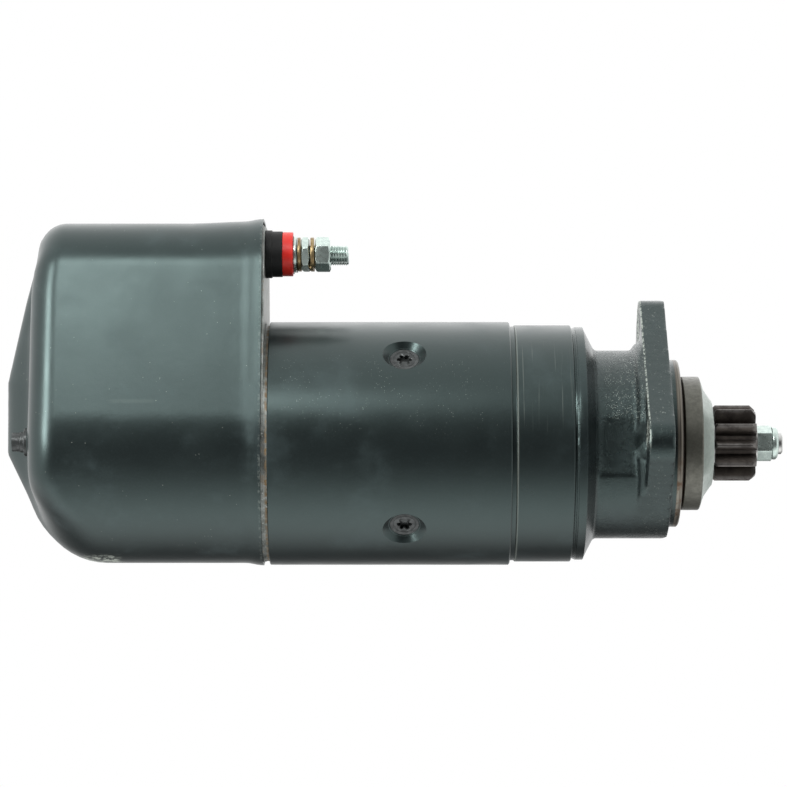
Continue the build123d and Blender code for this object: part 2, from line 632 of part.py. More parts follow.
# ---- pinion and its shaft ----
with BuildPart() as pinion_shaft:
    turned((-58.0, 0.0), (-58.0, 11.3), (-20.5, 11.3), (-20.5, 13.5), (-20.0, 14.0), (26.3, 14.0),
           (26.3, 11.0), (49.9, 11.0), (49.9, 6.0), (63.5, 6.0), (64.3, 5.2), (64.3, 0.0))
    for index in range(SPLINES):
        radial_block(-57.5, -23.0, 10.0, 13.0, 3.0, 360.0 / SPLINES * index)
    bar(-58.0, -49.8, ROD_R + 0.6, mode=Mode.SUBTRACT)
keep("pinion_shaft", pinion_shaft)

pitch_r = MODULE * PINION_TEETH / 2
base_r = pitch_r * cos(PRESSURE_ANGLE)
tip_r = pitch_r + MODULE * (1 + PROFILE_SHIFT)
foot_r = pitch_r - MODULE * (1.25 - PROFILE_SHIFT)
tooth_thickness = MODULE * (pi / 2 + 2 * PROFILE_SHIFT * tan(PRESSURE_ANGLE))


def flank_point(radius, side):
    """Point of an involute flank at a radius, on one side of a tooth that points along +x."""
    pressure = acos(min(1.0, base_r / radius))
    half = tooth_thickness / (2 * pitch_r) + tan(PRESSURE_ANGLE) - PRESSURE_ANGLE - tan(pressure) + pressure
    return (radius * cos(half), side * radius * sin(half))


flank_radii = [base_r + (tip_r - base_r) * step / 5 for step in range(6)]
with BuildSketch() as tooth:
    with BuildLine():
        lower = Spline(*[flank_point(radius, -1) for radius in flank_radii])
        upper = Spline(*[flank_point(radius, 1) for radius in flank_radii])
        ThreePointArc(lower @ 1, (tip_r, 0), upper @ 1)
        Polyline(lower @ 0, (foot_r - 1.0, (lower @ 0).Y), (foot_r - 1.0, (upper @ 0).Y), upper @ 0)
    make_face()
with BuildSketch(Plane.YZ.offset(PINION_REAR_X)) as pinion_section:
    Circle(foot_r)
    with PolarLocations(0, PINION_TEETH, start_angle=PINION_PHASE):
        add(tooth.sketch)
    Circle(11.0, mode=Mode.SUBTRACT)
with BuildPart() as pinion:
    extrude(pinion_section.sketch, amount=PINION_FRONT_X - PINION_REAR_X)
    turned((PINION_REAR_X, 0.0), (PINION_REAR_X, tip_r - 1.0), (PINION_REAR_X + 1.0, tip_r + 0.1),
           (PINION_FRONT_X - 2.6, tip_r + 0.1), (PINION_FRONT_X, tip_r - 2.6), (PINION_FRONT_X, 0.0),
           mode=Mode.INTERSECT)
keep("pinion", pinion)

with BuildPart() as pinion_nut:
    hex_bar(49.9, 58.2, 17.0, turn=26.0)
    turned((49.0, 0.0), (49.0, 8.6), (50.9, 9.9), (57.6, 9.9), (58.2, 9.2), (58.2, 0.0), mode=Mode.INTERSECT)
    turned((57.0, 5.0), (57.0, 7.8), (58.6, 7.8), (58.6, 9.0), (60.2, 9.0), (61.3, 8.3), (61.9, 7.0),
           (61.9, 5.0))
    bar(49.0, 62.0, 6.05, mode=Mode.SUBTRACT)
keep("pinion_nut", pinion_nut)

# ---- terminals ----
with BuildPart() as terminal_studs:
    for y, size in TERMINAL_SIZES:
        bar(-236.6, -229.0, 8.0, y, TERMINAL_Z)
        bar(-229.0, -184.6, size * TERMINAL_STUD_R - 0.1, y, TERMINAL_Z)
        bar(-184.6, TERMINAL_TIP_X, size * TERMINAL_STUD_R, y, TERMINAL_Z)
    chamfer(faces().sort_by(Axis.X)[-2:].edges(), 0.8)
keep("terminal_studs", terminal_studs)

with BuildPart() as terminal_insulator:
    bar(SHIELD_REAR_X + 0.1, SHIELD_LIP_X + 0.1, 6.9, -TERMINAL_Y, TERMINAL_Z)
    bar(SHIELD_LIP_X + 0.1, -216.2, 13.1, -TERMINAL_Y, TERMINAL_Z)
    bar(-216.2, -210.6, 12.5, -TERMINAL_Y, TERMINAL_Z)
    bar(-222.0, -210.0, TERMINAL_STUD_R + 0.05, -TERMINAL_Y, TERMINAL_Z, mode=Mode.SUBTRACT)
keep("terminal_insulator", terminal_insulator)

with BuildPart() as insulator_ring:
    tube(-210.6, -204.8, 12.1, TERMINAL_STUD_R + 0.05, -TERMINAL_Y, TERMINAL_Z)
keep("insulator_ring", insulator_ring)

with BuildPart() as terminal_31_spacer:
    tube(SHIELD_LIP_X, -204.8, 8.8, 0.8 * TERMINAL_STUD_R + 0.05, TERMINAL_Y, TERMINAL_Z)
keep("terminal_31_spacer", terminal_31_spacer)


def on_both_terminals(name, x0, x1, outer):
    """Washers of one kind on the studs of both main terminals."""
    with BuildPart() as rings:
        for y, size in TERMINAL_SIZES:
            for start, end in zip(x0, x1):
                tube(start, end, size * outer, size * TERMINAL_STUD_R + 0.15, y, TERMINAL_Z)
    keep(name, rings)


on_both_terminals("terminal_washers", [-204.7], [-202.9], 10.0)
on_both_terminals("terminal_spring_washers", [-202.8, -195.9], [-200.5, -193.1], 9.2)

for name, rear, front in (("terminal_thin_nuts", -200.4, -196.0), ("terminal_nuts", -192.9, -184.7)):
    with BuildPart() as nuts:
        for y, size in TERMINAL_SIZES:
            hex_bar(rear, front, size * TERMINAL_HEX, y, TERMINAL_Z, turn=35.0)
            bar(rear, front, size * TERMINAL_STUD_R + 0.05, y, TERMINAL_Z, mode=Mode.SUBTRACT)
    keep(name, nuts)

with BuildPart() as terminal_50_insulator:
    bar(SHIELD_REAR_X + 0.1, SHIELD_LIP_X + 0.1, 3.5, *CONTROL_TERMINAL)
    bar(SHIELD_LIP_X + 0.1, -213.0, 5.0, *CONTROL_TERMINAL)
    bar(-222.0, -212.0, 2.55, *CONTROL_TERMINAL, mode=Mode.SUBTRACT)
keep("terminal_50_insulator", terminal_50_insulator)

with BuildPart() as terminal_50_stud:
    bar(-225.0, -221.0, 4.5, *CONTROL_TERMINAL)
    bar(-221.0, -208.8, 2.45, *CONTROL_TERMINAL)
    bar(-208.8, -198.0, 2.5, *CONTROL_TERMINAL)
keep("terminal_50_stud", terminal_50_stud)

with BuildPart() as terminal_50_nut:
    hex_bar(-212.9, -208.9, 8.0, *CONTROL_TERMINAL)
    bar(-214.0, -208.0, 2.55, *CONTROL_TERMINAL, mode=Mode.SUBTRACT)
keep("terminal_50_nut", terminal_50_nut)

os.makedirs("parts", exist_ok=True)
for name, piece in PIECES.items():
    export_step(piece, "parts/" + name + ".step")
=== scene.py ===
import json
from math import cos, pi, radians, sin, sqrt, tan

import bmesh
import bpy
import numpy as np
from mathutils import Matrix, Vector

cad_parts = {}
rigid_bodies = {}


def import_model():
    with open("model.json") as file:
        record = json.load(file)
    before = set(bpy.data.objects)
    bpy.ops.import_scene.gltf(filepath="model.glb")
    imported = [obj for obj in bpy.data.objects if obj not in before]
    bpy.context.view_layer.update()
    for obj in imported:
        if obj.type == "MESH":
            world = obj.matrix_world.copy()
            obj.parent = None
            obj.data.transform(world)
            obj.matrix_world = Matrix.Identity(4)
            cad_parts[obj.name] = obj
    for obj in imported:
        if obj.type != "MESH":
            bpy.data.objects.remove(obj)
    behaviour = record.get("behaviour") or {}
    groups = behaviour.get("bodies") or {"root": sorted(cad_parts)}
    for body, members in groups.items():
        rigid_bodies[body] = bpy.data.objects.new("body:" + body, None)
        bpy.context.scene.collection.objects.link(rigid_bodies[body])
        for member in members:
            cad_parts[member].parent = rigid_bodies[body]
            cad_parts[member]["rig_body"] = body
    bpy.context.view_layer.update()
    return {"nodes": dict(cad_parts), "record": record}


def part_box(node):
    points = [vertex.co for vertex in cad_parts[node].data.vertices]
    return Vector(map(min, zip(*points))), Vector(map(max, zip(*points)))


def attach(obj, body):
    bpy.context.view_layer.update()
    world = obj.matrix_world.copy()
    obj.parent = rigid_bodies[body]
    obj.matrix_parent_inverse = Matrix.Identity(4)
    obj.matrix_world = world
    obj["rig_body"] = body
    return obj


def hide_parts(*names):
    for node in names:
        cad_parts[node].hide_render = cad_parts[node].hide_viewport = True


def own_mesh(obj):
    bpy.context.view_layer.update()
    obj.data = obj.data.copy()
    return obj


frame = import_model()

MM = 0.001
record = frame["record"]
slot_of = {part["node"]: part["material_slot"] for part in record["subparts"]}


# ---------------------------------------------------------------- shader maths
class Level:
    """A number that varies over a surface; arithmetic on it adds Math nodes."""

    def __init__(self, finish, socket):
        self.finish = finish
        self.socket = socket

    def _math(self, operation, *values):
        return Level(self.finish, self.finish.node("ShaderNodeMath", {"operation": operation}, values))

    def __add__(self, other):
        return self._math("ADD", self, other)

    def __sub__(self, other):
        return self._math("SUBTRACT", self, other)

    def __rsub__(self, other):
        return self._math("SUBTRACT", other, self)

    def __mul__(self, other):
        return self._math("MULTIPLY", self, other)

    __radd__ = __add__
    __rmul__ = __mul__

    def absolute(self):
        return self._math("ABSOLUTE", self)

    def root(self):
        return self._math("SQRT", self)

    def sine(self):
        return self._math("SINE", self)

    def largest(self, other):
        return self._math("MAXIMUM", self, other)

    def step(self, low, high):
        """0 below low, 1 above high and smooth between; low may be the larger."""
        settings = {"interpolation_type": "SMOOTHSTEP"}
        inputs = {"Value": self, "From Min": low, "From Max": high}
        if low > high:
            inputs = {"Value": self, "From Min": high, "From Max": low, "To Min": 1.0, "To Max": 0.0}
        return Level(self.finish, self.finish.node("ShaderNodeMapRange", settings, inputs))

    def band(self, low, high, soft):
        """1 between low and high with soft edges."""
        return self.step(low - soft, low) * self.step(high + soft, high)


class Finish:
    """A material under construction."""

    def __init__(self, name):
        self.material = bpy.data.materials.new(name)
        self.material.use_nodes = True
        self.tree = self.material.node_tree
        self.tree.nodes.clear()
        self.place = self.node("ShaderNodeTexCoord", output="Object")
        split = self.node("ShaderNodeSeparateXYZ", inputs={"Vector": self.place}, output=None)
        self.x, self.y, self.z = (Level(self, split.outputs[i]) for i in range(3))

    def node(self, kind, settings=None, inputs=None, output=0):
        """Add a node: settings first, then values or links of its sockets; gives back one output."""
        made = self.tree.nodes.new(kind)
        for name, value in (settings or {}).items():
            setattr(made, name, value)
        items = inputs.items() if isinstance(inputs, dict) else enumerate(inputs or ())
        for key, value in items:
            if isinstance(value, Level):
                value = value.socket
            if isinstance(value, bpy.types.NodeSocket):
                self.tree.links.new(value, made.inputs[key])
            else:
                made.inputs[key].default_value = value
        return made if output is None else made.outputs[output]

    def stretched(self, stretch):
        return self.node("ShaderNodeMapping", inputs={"Vector": self.place, "Scale": stretch})

    def noise(self, scale, detail=3.0, rough=0.55, stretch=(1.0, 1.0, 1.0)):
        inputs = {"Vector": self.stretched(stretch), "Scale": scale, "Detail": detail, "Roughness": rough}
        return Level(self, self.node("ShaderNodeTexNoise", inputs=inputs, output="Fac"))

    def specks(self, scale, size, share, stretch=(1.0, 1.0, 1.0)):
        """Small round spots: cells whose random number is under share, each with a radius of size."""
        cells = self.node("ShaderNodeTexVoronoi", inputs={"Vector": self.stretched(stretch), "Scale": scale},
                          output=None)
        chance = self.node("ShaderNodeSeparateColor", inputs={"Color": cells.outputs["Color"]}, output=None)
        near = Level(self, cells.outputs["Distance"]).step(size, size * 0.4)
        return near * Level(self, chance.outputs[0]).step(share + 0.01, share)

    def mixed(self, first, second, factor):
        settings = {"data_type": "RGBA"}
        sockets = {0: factor, 6: self.colour(first), 7: self.colour(second)}
        return self.node("ShaderNodeMix", settings, sockets, output=2)

    @staticmethod
    def colour(value):
        return (*value, 1.0) if isinstance(value, tuple) and len(value) == 3 else value

    def bumped(self, height, depth, strength=1.0):
        inputs = {"Height": height, "Distance": depth, "Strength": strength}
        return self.node("ShaderNodeBump", inputs=inputs)

    def done(self, **sockets):
        """Close the material with one Principled surface; names use _ for spaces."""
        inputs = {name.replace("_", " "): self.colour(value) for name, value in sockets.items()}
        surface = self.node("ShaderNodeBsdfPrincipled", inputs=inputs)
        self.node("ShaderNodeOutputMaterial", inputs={"Surface": surface}, output=None)
        return self.material

    def from_axis(self, y=0.0, z=0.0):
        """Distance from a line along X."""
        across, up = self.y - y, self.z - z
        return (across * across + up * up).root()


# ---------------------------------------------------------------- finishes
PAINT = (0.0060, 0.0080, 0.0082)
PAINT_HAZE = (0.052, 0.070, 0.074)
PAINT_TINT = (0.74, 1.0, 0.97, 1.0)
# Pale colour of chipped paint; on the cast housing it also paints glints and an edge highlight.
CHIP_AND_GLINT = (0.42, 0.45, 0.40)


def enamel(name, haze_share, wear):
    """Dark green-grey enamel: cloudy handling haze, dust specks and whatever wear adds."""
    paint = Finish(name)
    cloud = paint.noise(22.0, 5.0, 0.6)
    fine = paint.noise(900.0, 2.0, 0.6)
    haze = cloud.step(0.50, 0.72) * haze_share + fine.step(0.45, 0.85) * 0.06
    haze = haze + paint.specks(620.0, 0.16, 0.05) * 0.30
    rubbed = wear(paint)
    base = paint.mixed(paint.mixed(PAINT, PAINT_HAZE, haze), CHIP_AND_GLINT, rubbed)
    peel = paint.noise(260.0, 2.0) * 0.6 + paint.noise(1500.0, 1.0) * 0.25
    return paint.done(
        Base_Color=base,
        Roughness=paint.noise(45.0, 3.0) * 0.14 + haze * 0.35 + rubbed * 0.2 + 0.24,
        Specular_Tint=PAINT_TINT,
        Specular_IOR_Level=0.55,
        Normal=paint.bumped(peel, 0.00006, 0.8),
    )


def cover_wear(paint):
    heel = paint.x.band(-0.322, -0.303, 0.006) * paint.z.step(-0.060, -0.064)
    heel = heel * paint.noise(300.0, 4.0, 0.7).step(0.42, 0.60)
    flakes = paint.specks(560.0, 0.15, 0.10) * paint.noise(30.0).step(0.46, 0.58)
    smudge = paint.x.band(-0.299, -0.280, 0.004) * (paint.z - 0.0215).absolute().step(0.0016, 0.0004) * 0.03
    rim = paint.noise(500.0, 3.0, 0.7).step(0.50, 0.60) * paint.x.band(-0.2222, -0.2205, 0.0004) * 0.10
    return (heel * 0.75).largest(flakes * 0.5).largest(smudge).largest(rim)


def housing_wear(paint):
    dust = paint.specks(1150.0, 0.24, 0.22) * paint.noise(60.0, 4.0, 0.7).step(0.44, 0.60)
    dust = dust * paint.z.band(0.010, 0.040, 0.012) * paint.x.step(-0.086, -0.092)
    scuff = paint.noise(240.0, 5.0, 0.75, (1.0, 1.0, 1.0)).step(0.60, 0.74)
    scuff = scuff * paint.x.band(-0.178, -0.166, 0.006) * paint.z.band(0.009, 0.022, 0.005)
    turning = paint.noise(900.0, 2.0, 0.5, (1.0, 0.02, 0.02)).step(0.60, 0.72)
    turning = turning * paint.x.band(-0.080, -0.056, 0.004) * paint.z.band(0.012, 0.045, 0.012)
    edge = paint.x.band(-0.0837, -0.0830, 0.0002)
    return (dust * 0.46).largest(scuff * 0.34).largest(turning * 0.10).largest(edge * 0.16)


def cast_wear_and_glints(paint):
    # Pale specks on the crests of the upper neck and its shoulder are painted glints, not wear.
    crest = paint.specks(1500.0, 0.36, 0.42) * paint.noise(120.0, 4.0, 0.7).step(0.34, 0.52)
    shoulder_glints = crest * paint.z.band(0.014, 0.044, 0.006) * paint.x.band(-0.034, -0.0160, 0.004)
    # Pale line along the flange's rear edge on its upper half: partly a worn bare edge, partly a painted
    # highlight.
    lip = paint.noise(700.0, 3.0, 0.7).step(0.42, 0.55) * paint.x.band(-0.0138, -0.0131, 0.0002)
    lip = lip * paint.z.step(-0.006, 0.004)
    scratch = paint.noise(500.0, 4.0, 0.8, (1.0, 1.0, 0.35)).step(0.60, 0.68)
    scratch = scratch * paint.x.band(-0.013, -0.001, 0.002)
    return (shoulder_glints * 0.8).largest(lip * 0.55).largest(scratch * 0.22)


def cast_iron_paint():
    paint = Finish("cast_paint_finish")
    rough_zone = paint.x.band(-0.0405, -0.0005, 0.001)
    haze = paint.noise(30.0, 5.0, 0.65).step(0.45, 0.70) * 0.14
    haze = haze + paint.noise(700.0, 3.0).step(0.5, 0.9) * 0.08
    # Besides wear, rubbed carries the painted glints on the upper neck and the painted highlight on the
    # flange's rear edge.
    rubbed = cast_wear_and_glints(paint)
    painted = paint.mixed(paint.mixed(PAINT, PAINT_HAZE, haze), CHIP_AND_GLINT, rubbed)
    grit = paint.noise(1500.0, 3.0, 0.65) * 0.55 + paint.noise(620.0, 4.0, 0.7) * 0.5
    upper = paint.z.step(-0.019, -0.016) * paint.x.band(-0.0405, -0.0150, 0.001)
    sand = grit * (upper * 0.5 + 0.2) + paint.noise(140.0, 3.0, 0.6) * 0.3
    return paint.done(
        Base_Color=painted,
        Roughness=paint.noise(90.0, 4.0) * 0.18 + rubbed * 0.10 + 0.17,
        Specular_Tint=PAINT_TINT,
        Normal=paint.bumped(sand * rough_zone, 0.00080, 1.0),
    )


def bare_pilot_finish():
    """Turned cast iron of the pilot band, stained where the paint ends."""
    iron = Finish("bare_pilot_finish")
    marks = iron.noise(1600.0, 2.0, 0.5, (1.0, 0.01, 0.01))
    tone = iron.mixed((0.065, 0.058, 0.047), (0.15, 0.138, 0.115), marks.step(0.35, 0.65))
    stain = iron.noise(160.0, 5.0, 0.7).step(0.46, 0.62) * iron.z.step(0.004, -0.026)
    return iron.done(Base_Color=iron.mixed(tone, (0.07, 0.042, 0.024), stain), Metallic=0.75,
                     Roughness=iron.noise(90.0, 4.0) * 0.18 + 0.26, Normal=iron.bumped(marks, 0.00010, 0.8))


def plated(name, light, dark, roughness, metallic=0.9):
    """Plated steel: mottled plating and small dull spots."""
    metal = Finish(name)
    mottle = metal.noise(380.0, 4.0, 0.65).step(0.32, 0.70)
    spots = metal.specks(1400.0, 0.30, 0.12)
    tone = metal.mixed(metal.mixed(dark, light, mottle), (0.10, 0.10, 0.09), spots * 0.35)
    return metal.done(
        Base_Color=tone,
        Metallic=metallic,
        Roughness=mottle * -0.10 + roughness,
        Normal=metal.bumped(metal.noise(1300.0, 3.0) + spots * -0.5, 0.00003, 0.8),
    )


def zinc_shield():
    metal = Finish("zinc_shield_finish")
    cloud = metal.noise(140.0, 5.0, 0.7)
    front = metal.x.step(-0.2194, -0.2182)
    rust = (front * 0.8 + cloud.step(0.52, 0.66) * 0.5) * metal.noise(320.0, 5.0, 0.75).step(0.38, 0.58)
    chalk = metal.specks(500.0, 0.30, 0.14) * metal.noise(60.0).step(0.45, 0.6)
    tone = metal.mixed((0.09, 0.10, 0.09), (0.24, 0.26, 0.25), cloud.step(0.35, 0.65))
    tone = metal.mixed(metal.mixed(tone, (0.20, 0.125, 0.05), rust), (0.70, 0.72, 0.68), chalk * 0.6)
    return metal.done(Base_Color=tone, Metallic=0.65 - rust * 0.5, Roughness=rust * 0.3 + 0.42,
                      Normal=metal.bumped(cloud + rust * 0.5, 0.0001, 0.7))


def moulded(name, colour, pale, roughness, sheen):
    """Moulded plastic: faint flow mottling, dust in the grain and a fine eroded texture."""
    plastic = Finish(name)
    flow = plastic.noise(120.0, 4.0, 0.6).step(0.35, 0.75)
    dust = plastic.specks(1100.0, 0.25, 0.10)
    tone = plastic.mixed(plastic.mixed(colour, pale, flow * 0.45), (0.30, 0.30, 0.28), dust * 0.12)
    grain = plastic.noise(1500.0, 2.0)
    return plastic.done(Base_Color=tone, Roughness=flow * 0.10 + roughness, Specular_IOR_Level=sheen,
                        Normal=plastic.bumped(grain, 0.00003, 0.7))


def machined(name, light, dark, roughness, stretch=(1.0, 0.02, 0.02), metallic=0.95):
    """Machined metal with fine tool marks that run round the shaft line, or along stretch."""
    metal = Finish(name)
    marks = metal.noise(1500.0, 2.0, 0.5, stretch)
    oil = metal.noise(70.0, 4.0, 0.6).step(0.4, 0.7)
    tone = metal.mixed(metal.mixed(dark, light, marks.step(0.3, 0.7)), dark, oil * 0.5)
    return metal.done(Base_Color=tone, Metallic=metallic, Roughness=oil * 0.12 + marks * 0.1 + roughness,
                      Normal=metal.bumped(marks, 0.00002, 0.7))


def pinion_finish():
    steel = Finish("pinion_steel_finish")
    radius = steel.from_axis()
    crest = radius.step(0.0192, 0.0207)
    mouth = steel.x.step(0.0455, 0.0478)
    oil = steel.noise(160.0, 5.0, 0.7)
    rub = (crest.largest(mouth * 0.8)) * oil.step(0.30, 0.60)
    tone = steel.mixed((0.030, 0.025, 0.022), (0.065, 0.055, 0.047), oil.step(0.35, 0.70))
    tone = steel.mixed(tone, (0.16, 0.155, 0.15), rub * 0.55)
    hob = steel.noise(900.0, 2.0, 0.5, (0.05, 1.0, 1.0))
    return steel.done(Base_Color=tone, Metallic=0.75, Roughness=0.44 - rub * 0.12,
                      Normal=steel.bumped(hob + oil * 0.5, 0.00004, 0.7))


def lamination_finish():
    steel = Finish("lamination_finish")
    sheets = (steel.x * 6283.0).sine()
    tone = steel.mixed((0.10, 0.10, 0.105), (0.32, 0.32, 0.33), sheets.step(-0.6, 0.6))
    return steel.done(Base_Color=tone, Metallic=0.85, Roughness=0.38 + steel.noise(200.0) * 0.1,
                      Normal=steel.bumped(sheets, 0.00005, 0.8))


def rubber_finish():
    rubber = Finish("seal_rubber_finish")
    bloom = rubber.noise(90.0, 4.0).step(0.45, 0.75)
    tone = rubber.mixed((0.012, 0.012, 0.012), (0.05, 0.05, 0.048), bloom * 0.5)
    return rubber.done(Base_Color=tone, Roughness=0.62 + bloom * 0.1,
                       Normal=rubber.bumped(rubber.noise(900.0), 0.00004, 0.7))


def tape_finish():
    tape = Finish("tape_finish")
    weave = (tape.x * 5200.0).sine() * (tape.from_axis() * 5200.0).sine()
    tone = tape.mixed((0.34, 0.26, 0.15), (0.60, 0.50, 0.33), weave.step(-0.5, 0.5))
    return tape.done(Base_Color=tape.mixed(tone, (0.10, 0.06, 0.03), tape.noise(60.0).step(0.45, 0.75) * 0.6),
                     Roughness=0.7, Normal=tape.bumped(weave, 0.00008, 0.8))


finishes = {
    "cover_paint": enamel("cover_paint_finish", 0.26, cover_wear),
    "housing_paint": enamel("housing_paint_finish", 0.20, housing_wear),
    "cast_paint": cast_iron_paint(),
    "zinc_shield": zinc_shield(),
    "zinc_fastener": plated("zinc_fastener_finish", (0.50, 0.585, 0.545), (0.38, 0.45, 0.425), 0.34),
    "black_screw": plated("black_screw_finish", (0.055, 0.06, 0.06), (0.025, 0.028, 0.028), 0.42, 0.6),
    "yellow_zinc": plated("yellow_zinc_finish", (0.30, 0.23, 0.12), (0.16, 0.11, 0.05), 0.45),
    "black_moulding": moulded("black_moulding_finish", (0.0035, 0.004, 0.004), (0.009, 0.010, 0.010),
                              0.55, 0.25),
    "red_moulding": moulded("red_moulding_finish", (0.47, 0.014, 0.010), (0.62, 0.05, 0.025), 0.38, 0.35),
    "phosphate": plated("phosphate_finish", (0.105, 0.105, 0.088), (0.070, 0.070, 0.058), 0.40, 0.55),
    "light_ring": plated("light_ring_finish", (0.30, 0.345, 0.315), (0.24, 0.28, 0.255), 0.42, 0.35),
    "pinion_steel": pinion_finish(),
    "shaft_steel": machined("shaft_steel_finish", (0.56, 0.57, 0.56), (0.30, 0.30, 0.29), 0.22),
    "soft_iron": machined("soft_iron_finish", (0.36, 0.36, 0.37), (0.20, 0.20, 0.21), 0.40),
    "copper": machined("copper_finish", (0.80, 0.42, 0.27), (0.50, 0.22, 0.13), 0.26),
    "varnished_copper": machined("varnished_copper_finish", (0.52, 0.17, 0.06), (0.26, 0.07, 0.03), 0.22),
    "bronze": machined("bronze_finish", (0.66, 0.48, 0.24), (0.42, 0.27, 0.12), 0.34),
    "lamination": lamination_finish(),
    "carbon": machined("carbon_finish", (0.06, 0.06, 0.062), (0.025, 0.025, 0.026), 0.44,
                       (0.05, 1.0, 1.0), 0.4),
    "spring_steel": machined("spring_steel_finish", (0.42, 0.43, 0.45), (0.22, 0.23, 0.25), 0.3,
                             (1.0, 1.0, 1.0)),
    "seal_rubber": rubber_finish(),
    "tape": tape_finish(),
}


# ---------------------------------------------------------------- making pieces
def from_points(name, points, faces, at_mm=True):
    mesh = bpy.data.meshes.new(name)
    scale = MM if at_mm else 1.0
    mesh.from_pydata([(x * scale, y * scale, z * scale) for x, y, z in points], [], faces)
    piece = bpy.data.objects.new(name, mesh)
    bpy.context.scene.collection.objects.link(piece)
    return piece


def tidy_mesh(piece, merge=1e-6):
    cells = bmesh.new()
    cells.from_mesh(piece.data)
    bmesh.ops.remove_doubles(cells, verts=cells.verts, dist=merge)
    bmesh.ops.dissolve_degenerate(cells, edges=cells.edges, dist=merge * 0.5)
    bmesh.ops.recalc_face_normals(cells, faces=cells.faces)
    cells.to_mesh(piece.data)
    cells.free()


def baked(piece, changes):
    """Apply a list of (modifier type, settings) to a piece and leave a plain mesh."""
    for kind, settings in changes:
        modifier = piece.modifiers.new(kind.lower(), kind)
        for name, value in settings.items():
            setattr(modifier, name, value)
    graph = bpy.context.evaluated_depsgraph_get()
    mesh = bpy.data.meshes.new_from_object(piece.evaluated_get(graph))
    piece.modifiers.clear()
    piece.data = mesh
    return piece


def eased(piece, width, angle=32.0, segments=2):
    """Round the piece's sharp edges by a width in mm and shade it smooth between them."""
    piece.data.shade_smooth()
    piece.data.set_sharp_from_angle(angle=radians(angle))
    bevel = {"width": width * MM, "segments": segments, "limit_method": "ANGLE",
             "angle_limit": radians(angle), "use_clamp_overlap": True, "harden_normals": True}
    return baked(piece, [("BEVEL", bevel)])


def smooth_only(piece, angle=32.0):
    piece.data.shade_smooth()
    piece.data.set_sharp_from_angle(angle=radians(angle))
    return piece


def finished(piece, node):
    """Give a made piece the finish and body of the CAD node it stands for, and hide that node."""
    piece.data.materials.clear()
    piece.data.materials.append(finishes[slot_of[node]])
    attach(piece, frame["nodes"][node]["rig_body"])
    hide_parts(node)
    return piece


def joined(name, pieces):
    """One piece from several closed shells."""
    points, faces, start = [], [], 0
    for part in pieces:
        points += [tuple(vertex.co) for vertex in part.data.vertices]
        faces += [[start + i for i in face.vertices] for face in part.data.polygons]
        start = len(points)
        bpy.data.objects.remove(part)
    return from_points(name, points, faces, at_mm=False)


def copied(name, node):
    """Merged copy of a CAD node's mesh."""
    piece = bpy.data.objects.new(name, frame["nodes"][node].data.copy())
    bpy.context.scene.collection.objects.link(piece)
    if piece.data.has_custom_normals:
        bpy.context.view_layer.objects.active = piece
        with bpy.context.temp_override(object=piece, active_object=piece):
            bpy.ops.mesh.customdata_custom_splitnormals_clear()
    tidy_mesh(piece, 2e-6)
    return piece


def loft_rings(rings, close_ends=True):
    """Points and faces of a skin over equal rings; the ends are closed with a fan about their middle."""
    count = len(rings[0])
    points = [point for ring in rings for point in ring]
    faces = []
    for row in range(len(rings) - 1):
        for i in range(count):
            j = (i + 1) % count
            faces.append((row * count + i, row * count + j, (row + 1) * count + j, (row + 1) * count + i))
    if close_ends:
        for row in (0, len(rings) - 1):
            middle = len(points)
            ring = rings[row]
            points.append(tuple(sum(p[axis] for p in ring) / count for axis in range(3)))
            faces += [(row * count + i, row * count + (i + 1) % count, middle) for i in range(count)]
    return points, faces


def turned(name, stations, y=0.0, z=0.0, segments=160):
    """Revolve a closed outline of (x, radius) stations in mm about a line along X through (y, z)."""
    rings = []
    for x, radius in [*stations, stations[0]]:
        steps = [2 * pi * i / segments for i in range(segments)]
        rings.append([(x, y + radius * cos(a), z + radius * sin(a)) for a in steps])
    piece = from_points(name, *loft_rings(rings, close_ends=False))
    tidy_mesh(piece)
    return piece


def hex_nut(name, x0, x1, across, bore, y, z, turn, chamfer_radius):
    """Hexagonal nut with turned chamfers at both faces and a countersunk bore."""
    segments, slope = 96, tan(radians(30.0))
    rings = [[] for _ in range(8)]
    for i in range(segments):
        angle = 2 * pi * i / segments
        in_flat = (angle + pi / 6) % (pi / 3) - pi / 6
        reach = across / 2 / cos(in_flat)
        drop = max(0.0, reach - chamfer_radius) * slope
        shape = [(x0 + 0.6, bore), (x0, bore + 0.6), (x0, chamfer_radius), (x0 + drop, reach),
                 (x1 - drop, reach), (x1, chamfer_radius), (x1, bore + 0.6), (x1 - 0.6, bore)]
        for ring, (x, radius) in zip(rings, shape):
            ring.append((x, y + radius * cos(angle + turn), z + radius * sin(angle + turn)))
    rings.append(rings[0])
    piece = from_points(name, *loft_rings(rings, close_ends=False))
    tidy_mesh(piece)
    return piece


def threaded_rod(name, x0, x1, radius, pitch, y, z, plain_to):
    """Round rod with a plain shank up to plain_to, then a rolled thread and a chamfered tip at x1."""
    around, per_pitch, depth = 48, 8, 0.54 * pitch
    rings = [[(x0, y + radius * cos(a), z + radius * sin(a)) for a in np.linspace(0, 2 * pi, around, False)]]
    for row in range(int((x1 - plain_to) / pitch * per_pitch) + 1):
        x = plain_to + row * pitch / per_pitch
        ring = []
        for i in range(around):
            phase = ((x - plain_to) / pitch - i / around) % 1.0
            ridge = abs(2 * phase - 1)
            tip = max(0.0, x - (x1 - 1.0))
            reach = min(radius - depth * ridge * min(1.0, row / 6), radius - tip)
            angle = 2 * pi * i / around
            ring.append((x, y + reach * cos(angle), z + reach * sin(angle)))
        rings.append(ring)
    piece = from_points(name, *loft_rings(rings))
    tidy_mesh(piece)
    return smooth_only(piece, 50.0)


